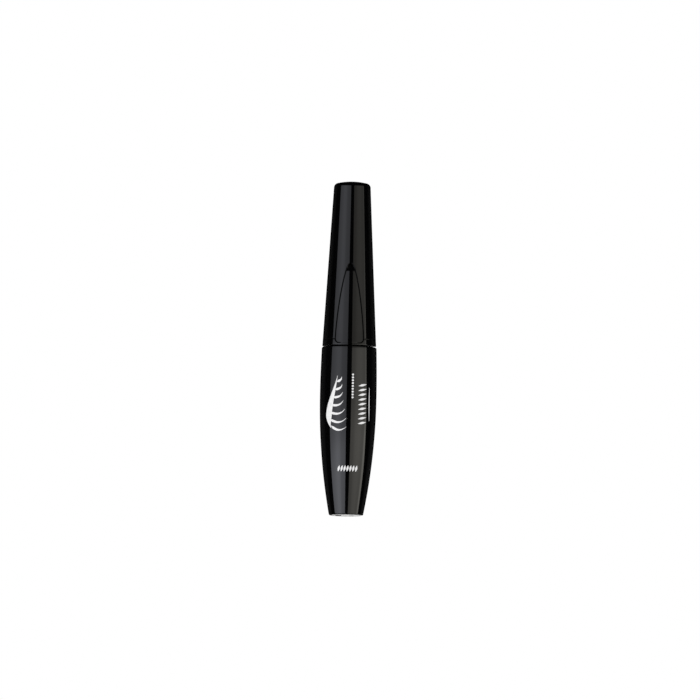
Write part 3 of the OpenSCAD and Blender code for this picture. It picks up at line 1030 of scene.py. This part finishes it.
def build_ferrule(finish):
    """Thin tube with a rolled lip and crimps that grip the bristles and the spigot."""
    lip_c = (FERRULE_R - FERRULE_LIP_R, FERRULE_Z + FERRULE_LIP_R)
    top_c = (FERRULE_R - FERRULE_TOP_EDGE_R, FERRULE_TOP - FERRULE_TOP_EDGE_R)
    wall = []
    for z in spread(lip_c[1], FERRULE_TOP - FERRULE_LIP_R, steps=120)[1:-1]:
        sunk = sum(CRIMP_DEPTH * math.exp(-((z - crimp) / CRIMP_W) ** 2) for crimp in CRIMP_ZS)
        wall.append((FERRULE_R - sunk, z))
    low_bore, high_bore = (FERRULE_BORE_R, FERRULE_Z), (FERRULE_BORE_R, FERRULE_TOP)
    outline = (
        [low_bore] + arc(lip_c, FERRULE_LIP_R, -90, 0, steps=4) + wall
        + arc(top_c, FERRULE_TOP_EDGE_R, 0, 90, steps=4) + [high_bore, low_bore]
    )
    points, faces = revolve(outline, steps=96)
    return make_piece("ferrule_tube", points, faces, finish, sharp_deg=50.0)


# White print on the barrel, in plain liner strokes

def on_barrel(x, z, lift):
    """A point over the barrel's skin from its place seen from the front."""
    r = barrel_r(z) + lift
    return (x, -math.sqrt(r * r - x * x), z)


def ink_patch(rows):
    """A thin closed layer of ink on the barrel from a grid of places seen from the front."""
    tall, wide = len(rows), len(rows[0])
    points = [on_barrel(x, z, lift) for lift in (INK_LIFT, -INK_SUNK)
              for row in rows for x, z in row]
    under = tall * wide
    faces = []
    for i in range(tall - 1):
        for j in range(wide - 1):
            a = i * wide + j
            top = [a, a + 1, a + wide + 1, a + wide]
            faces.append(top)
            faces.append([v + under for v in reversed(top)])
    rim = list(range(wide))
    rim += [i * wide + wide - 1 for i in range(1, tall)]
    rim += [(tall - 1) * wide + j for j in range(wide - 2, -1, -1)]
    rim += [i * wide for i in range(tall - 2, 0, -1)]
    for a, b in zip(rim, rim[1:] + rim[:1]):
        faces.append([b, a, a + under, b + under])
    return points, faces


def curve_at(guides, t):
    """The place at a share t of the way along a curve with four guide points."""
    s = 1 - t
    return [s ** 3 * a + 3 * s * s * t * b + 3 * s * t * t * c + t ** 3 * d
            for a, b, c, d in zip(*guides)]


def way_at(guides, t):
    """The way that the same curve runs there."""
    s = 1 - t
    return [3 * s * s * (b - a) + 6 * s * t * (c - b) + 3 * t * t * (d - c)
            for a, b, c, d in zip(*guides)]


def liner_stroke(guides, widest, peak, steps=72):
    """Ink drawn along a curve like one pull of the brush, widest at the peak's share of it."""
    rows = []
    for t in spread(0, 1, steps):
        x, z = curve_at(guides, t)
        dx, dz = way_at(guides, t)
        size = math.hypot(dx, dz)
        swell = math.sin(math.pi / 2 * min(t / peak, (1 - t) / (1 - peak)))
        half = STROKE_END_HALF_W + (widest / 2 - STROKE_END_HALF_W) * swell ** STROKE_SWELL_POWER
        rows.append([(x + dz / size * half * share, z - dx / size * half * share)
                     for share in STROKE_SHARES])
    return ink_patch(rows)


def ink_dot(x, z, r):
    """A round dot of ink as a small square grid drawn out to a circle."""
    shares = spread(-1, 1, DOT_STEPS)
    return ink_patch([
        [(x + r * v * math.sqrt(1 - u * u / 2), z + r * u * math.sqrt(1 - v * v / 2))
         for v in shares]
        for u in shares
    ])


def lash(root, length, rise_deg):
    """One lash, bent upwards from its root on the lid."""
    low, high = math.radians(rise_deg - LASH_BEND_DEG), math.radians(rise_deg + LASH_BEND_DEG)
    x, z = root
    guides = [(x + LASH_ROOT_X, z)]
    for share in LASH_GUIDE_SHARES:
        guides.append((x + length * share * math.cos(low), z + length * share * math.sin(low)))
    guides.append((x + length * math.cos(high) * LASH_END_SHARES[0],
                   z + length * math.sin(high) * LASH_END_SHARES[1]))
    return liner_stroke(guides, LASH_W, LASH_PEAK_SHARE, steps=28)


def closed_eye():
    """A closed eye with its lashes, read upwards along the barrel."""
    lashes = [lash(curve_at(LID_GUIDES, share), length, rise) for share, length, rise in LASHES]
    return [liner_stroke(LID_GUIDES, LID_W, LID_PEAK_SHARE)] + lashes


def tick_row(start, step, count, reach, width):
    """Short straight ticks in a row, each reaching as far across and up as the others."""
    ticks = []
    for i in range(count):
        x, z = start[0] + step[0] * i, start[1] + step[1] * i
        guides = [(x + reach[0] * k / 3, z + reach[1] * k / 3) for k in range(4)]
        ticks.append(liner_stroke(guides, width, peak=0.5, steps=12))
    return ticks


def lay_print(name, finish, parts):
    """One piece of print from several parts, riding on the bottle."""
    points, faces = joined(*parts)
    piece = make_piece(name, points, faces, finish, sharp_deg=40.0)
    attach(piece, "bottle_body")


# The pieces

bottle = build_bottle(gloss_black("bottle_gloss_black", 0.001))
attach(bottle, "bottle_body")
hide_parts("bottle")

cap = build_cap(gloss_black("cap_gloss_black", 0.0008, ring_line=True))
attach(cap, "cap_body")
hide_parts("overcap")

bristles = build_bristles(wet_bristles())
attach(bristles, "cap_body")
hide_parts("brush_tuft")

ferrule = build_ferrule(drawn_tube())
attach(ferrule, "cap_body")
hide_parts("ferrule")

packed_finishes = {
    "wiper": milky_wiper(),
    "base_label": coated_paper(),
    "seal_washer": foam_washer(),
    "inner_cap": satin_black("inner_cap_satin_black", 0.006, roughness=0.3, line_depth=0.0),
    "stem": satin_black("stem_satin_black", 0.005, roughness=0.24, line_depth=0.03),
}
for node, finish in packed_finishes.items():
    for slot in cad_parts[node].material_slots:
        slot.material = finish

ink = print_ink()
dots = [ink_dot(DOT_X, DOT_LOW_Z + DOT_STEP_Z * i, DOT_R) for i in range(DOT_COUNT)]
lay_print("closed_eye_print", ink, closed_eye())
lay_print("lash_ticks_print", ink, tick_row(
    start=(3.5, 31.0), step=(0.0, 1.62), count=9, reach=(2.7, 0.7), width=0.75))
lay_print("dot_column_print", ink, dots)
lay_print("hair_line_print", ink, [liner_stroke(HAIR_LINE_GUIDES, HAIR_LINE_W, peak=0.5)])
lay_print("low_ticks_print", ink, tick_row(
    start=(-3.0, 14.6), step=(1.0, 0.0), count=7, reach=(0.45, 2.1), width=0.74))


# Studio, in metres: azimuth 0 is the front and + is right, as seen from the object's middle

MIDDLE = (0.0, 0.0, 0.0575)
SHEET_LOW, SHEET_HIGH = -50.0, 27.0
SOFTBOX_REACH, REFLECTOR_REACH, CARD_REACH, CLOTH_REACH = 4.5, 4.6, 4.8, 5.0
ACROSS_STEPS, UP_STEPS = 48, 24

# Levels of each sheet's light, by azimuth and by height in degrees
LEFT_ACROSS = (
    (-82.0, 0.62), (-72.0, 0.68), (-58.0, 0.84), (-46.0, 1.0),
    (-35.0, 0.96), (-27.0, 0.74), (-17.0, 0.67), (-7.0, 0.62),
)
LEFT_UP = (
    (SHEET_LOW, 0.93), (-10.0, 0.97), (-6.0, 0.93), (-3.0, 0.73),
    (6.0, 0.49), (8.7, 0.49), (9.8, 0.445), (SHEET_HIGH, 0.42),
)
RIGHT_ACROSS = (
    (12.3, 0.45), (24.0, 0.48), (34.0, 0.63), (44.0, 0.67), (53.0, 0.67),
    (62.0, 0.6), (69.0, 0.56), (73.5, 0.6), (76.5, 0.95), (87.0, 1.0),
)
RIGHT_UP = (
    (SHEET_LOW, 0.8), (-16.0, 0.8), (-10.0, 0.88), (-3.0, 0.97),
    (5.0, 0.75), (8.7, 0.74), (9.8, 0.38), (SHEET_HIGH, 0.36),
)
REFLECTOR_ACROSS = (
    (-150.0, 0.5), (-135.0, 1.0), (-112.0, 0.7), (-108.0, 0.0),
    (108.0, 0.0), (112.0, 0.7), (135.0, 1.0), (150.0, 0.5),
)
REFLECTOR_UP = ((SHEET_LOW, 1.0), (-6.0, 0.9), (3.0, 0.55), (SHEET_HIGH, 0.5))
REFLECTOR_SPANS = ((-150.0, -108.0), (108.0, 150.0))
COOL_WHITE, WARM_WHITE = (0.9, 0.92, 1.0, 1.0), (1.0, 0.97, 0.885, 1.0)

# Outer side of a softbox, as height and azimuth at its lower and its upper end
LEFT_SIDE = (3.0, 79.7, 6.5, 76.2)
RIGHT_SIDE = (-6.0, 86.0, 6.0, 77.5)
SIDE_BLUR_DEG = 0.3

FLOOR_Z = -0.00006
FLOOR_R = 2.0
FLOOR_FADE = (0.9, 1.9)
FLOOR_RINGS, FLOOR_SIDES = 12, 64
WORLD_LIGHT = 0.8

CAMERA_REACH = 4.0
CAMERA_RISE_DEG = -4.4
CAMERA_ROLL_DEG = 1.13
SENSOR_W = 36.0
FRAME_W = 0.2406
AIM_X, AIM_Z = 0.00029, -0.00051


def place_stage(name, points, faces, finish):
    """A stage mesh in metres."""
    mesh = bpy.data.meshes.new(name)
    mesh.from_pydata(points, [], faces)
    mesh.polygons.foreach_set("use_smooth", [True] * len(mesh.polygons))
    mesh.materials.append(finish)
    thing = bpy.data.objects.new(name, mesh)
    bpy.context.scene.collection.objects.link(thing)
    return thing


def hide_from(thing, *rays):
    """Keeps an object out of sight of some kinds of rays."""
    for ray in rays:
        setattr(thing, "visible_" + ray, False)


def hang_sheet(name, finish, reach, across, up=(SHEET_LOW, SHEET_HIGH)):
    """A curved sheet round the object between two azimuths and two heights in degrees.
    Only what is glossy sees it."""
    points, faces = [], []
    for rise in spread(up[0], up[1], UP_STEPS):
        for turn in spread(across[0], across[1], ACROSS_STEPS):
            e, a = math.radians(rise), math.radians(turn)
            points.append((
                MIDDLE[0] + reach * math.cos(e) * math.sin(a),
                MIDDLE[1] - reach * math.cos(e) * math.cos(a),
                MIDDLE[2] + reach * math.sin(e),
            ))
    wide = ACROSS_STEPS + 1
    for i in range(UP_STEPS):
        for k in range(i * wide, i * wide + ACROSS_STEPS):
            faces.append([k, k + 1, k + wide + 1, k + wide])
    sheet = place_stage(name, points, faces, finish)
    hide_from(sheet, "camera", "diffuse", "shadow", "transmission", "volume_scatter")


def span(levels):
    """The first and last place of a table of levels."""
    return levels[0][0], levels[-1][0]


def glow(name, colour, strength, across, up, outer_side=None):
    """Light given off by a sheet, shaped across it and up it by two ramps. Its outer side may
    lean, from one azimuth at a low height to another at a high one."""
    f = new_finish(name)
    x, y, z = f.coordinates("X", "Y", "Z")
    turn = maths("ARCTAN2", x, y * -1.0) * (180 / math.pi)
    rise = maths("ARCTAN2", z - MIDDLE[2], maths("SQRT", x * x + y * y)) * (180 / math.pi)

    def shaped(value, levels):
        low, high = span(levels)
        stops = [((place - low) / (high - low), tone(level)) for place, level in levels]
        ramp = f.add("ValToRGB", {"stops": stops}, {"Fac": (value - low) / (high - low)},
                     out="Color")
        return f.add("SeparateColor", sockets={"Color": ramp}, out="Red")

    level = shaped(turn, across) * shaped(rise, up)
    if outer_side:
        low_rise, low_turn, high_rise, high_turn = outer_side
        limit = f.add("MapRange", {"clamp": True}, {
            "Value": rise, "From Min": low_rise, "From Max": high_rise,
            "To Min": low_turn, "To Max": high_turn})
        level = level * f.step(limit - abs(turn), -SIDE_BLUR_DEG, SIDE_BLUR_DEG)
    return f.light(f.mix(level, tone(0.0), colour), strength)


def hang_sheets():
    """Softboxes, reflectors, dark cloth and a grey card, as the gloss of the bottle shows them."""
    left = glow("left_softbox_glow", COOL_WHITE, 2.85, LEFT_ACROSS, LEFT_UP, LEFT_SIDE)
    right = glow("right_softbox_glow", WARM_WHITE, 2.6, RIGHT_ACROSS, RIGHT_UP, RIGHT_SIDE)
    side = glow("side_reflector_glow", tone(1.0), 0.06, REFLECTOR_ACROSS, REFLECTOR_UP)
    cloth = new_finish("studio_dark_cloth").light(tone(1.0), 0.0)
    card = new_finish("studio_grey_card").light(tone(1.0), 0.12)
    hang_sheet("left_softbox", left, SOFTBOX_REACH, span(LEFT_ACROSS))
    hang_sheet("right_softbox", right, SOFTBOX_REACH, span(RIGHT_ACROSS))
    hang_sheet("left_reflector", side, REFLECTOR_REACH, REFLECTOR_SPANS[0])
    hang_sheet("right_reflector", side, REFLECTOR_REACH, REFLECTOR_SPANS[1])
    hang_sheet("dark_cloth_round", cloth, CLOTH_REACH, across=(-180.0, 170.0), up=(-60.0, 40.0))
    hang_sheet("dark_cloth_rear", cloth, CLOTH_REACH, across=(170.0, 180.0), up=(1.0, 40.0))
    hang_sheet("grey_card_rear", card, CARD_REACH, across=(-180.0, -172.0), up=(-20.0, 1.0))
    hang_sheet("dark_cloth_above", cloth, CLOTH_REACH, across=(-180.0, 180.0), up=(26.0, 90.0))
    hang_sheet("dark_cloth_below", cloth, CLOTH_REACH, across=(-180.0, 180.0), up=(-90.0, -50.0))


def build_floor():
    """A plain pale floor that shows from above only and fades out at its rim."""
    f = new_finish("studio_floor")
    x, y = f.coordinates("X", "Y")
    grain = f.noise(f.place(), 60.0, detail=3.0)
    paper = f.add("BsdfPrincipled", sockets={
        "Base Color": f.mix(grain, tone(0.94), tone(0.98)), "Roughness": 0.7})
    clear = f.add("BsdfTransparent")
    under = f.add("NewGeometry", out="Backfacing")
    hidden = maths("MAXIMUM", under, f.step(maths("SQRT", x * x + y * y), *FLOOR_FADE))
    finish = f.end(f.add("MixShader", sockets={0: hidden, 1: paper, 2: clear}))
    points, faces = [(0.0, 0.0, FLOOR_Z)], []
    for ring in range(1, FLOOR_RINGS + 1):
        for i in range(FLOOR_SIDES):
            a = 2 * math.pi * i / FLOOR_SIDES
            r = FLOOR_R * ring / FLOOR_RINGS
            points.append((r * math.cos(a), r * math.sin(a), FLOOR_Z))
    for i in range(FLOOR_SIDES):
        j = (i + 1) % FLOOR_SIDES
        faces.append([0, 1 + i, 1 + j])
        for ring in range(FLOOR_RINGS - 1):
            a, b = 1 + ring * FLOOR_SIDES, 1 + (ring + 1) * FLOOR_SIDES
            faces.append([a + i, b + i, b + j, a + j])
    floor = place_stage("studio_floor", points, faces, finish)
    hide_from(floor, "glossy", "diffuse", "shadow")


def build_world():
    """White to the eye and in reflections, a little softer as light."""
    world = bpy.data.worlds.new("studio_white")
    bpy.context.scene.world = world
    f = Finish(world)
    camera, glossy, clear = f.add(
        "LightPath", out=("Is Camera Ray", "Is Glossy Ray", "Is Transmission Ray"))
    seen = maths("MAXIMUM", maths("MAXIMUM", camera, glossy), clear)
    white = f.mix(seen, tone(WORLD_LIGHT), tone(1.0))
    back = f.add("Background", sockets={"Color": white, "Strength": 1.0})
    f.add("OutputWorld", sockets={"Surface": back}, out=())


def hang_lamp(name, spot, size, watts):
    """A soft lamp aimed at the object; glossy surfaces see the softboxes instead."""
    lamp = bpy.data.lights.new(name, "AREA")
    lamp.shape = "DISK"
    lamp.size = size
    lamp.energy = watts
    thing = bpy.data.objects.new(name, lamp)
    thing.location = spot
    thing.rotation_mode = "QUATERNION"
    thing.rotation_quaternion = (Vector(MIDDLE) - Vector(spot)).to_track_quat("-Z", "Y")
    hide_from(thing, "glossy", "camera")
    bpy.context.scene.collection.objects.link(thing)


def set_camera():
    """A long lens a little below the object's middle, rolled by a degree."""
    camera = bpy.data.cameras.new("camera")
    camera.sensor_width = SENSOR_W
    camera.lens = SENSOR_W * CAMERA_REACH / FRAME_W
    camera.clip_start, camera.clip_end = 0.1, 30.0
    thing = bpy.data.objects.new("camera", camera)
    rise = math.radians(CAMERA_RISE_DEG)
    back = Vector((0.0, -math.cos(rise), math.sin(rise)))
    thing.location = Vector((AIM_X, 0.0, MIDDLE[2] + AIM_Z)) + back * CAMERA_REACH
    thing.rotation_mode = "QUATERNION"
    level = (-back).to_track_quat("-Z", "Y")
    thing.rotation_quaternion = level @ Quaternion((0, 0, 1), math.radians(CAMERA_ROLL_DEG))
    bpy.context.scene.collection.objects.link(thing)
    bpy.context.scene.camera = thing


hang_sheets()
build_floor()
build_world()
hang_lamp("key_lamp", spot=(-0.9, -1.1, 1.3), size=0.9, watts=7.0)
set_camera()
bpy.context.scene.view_settings.view_transform = "Standard"
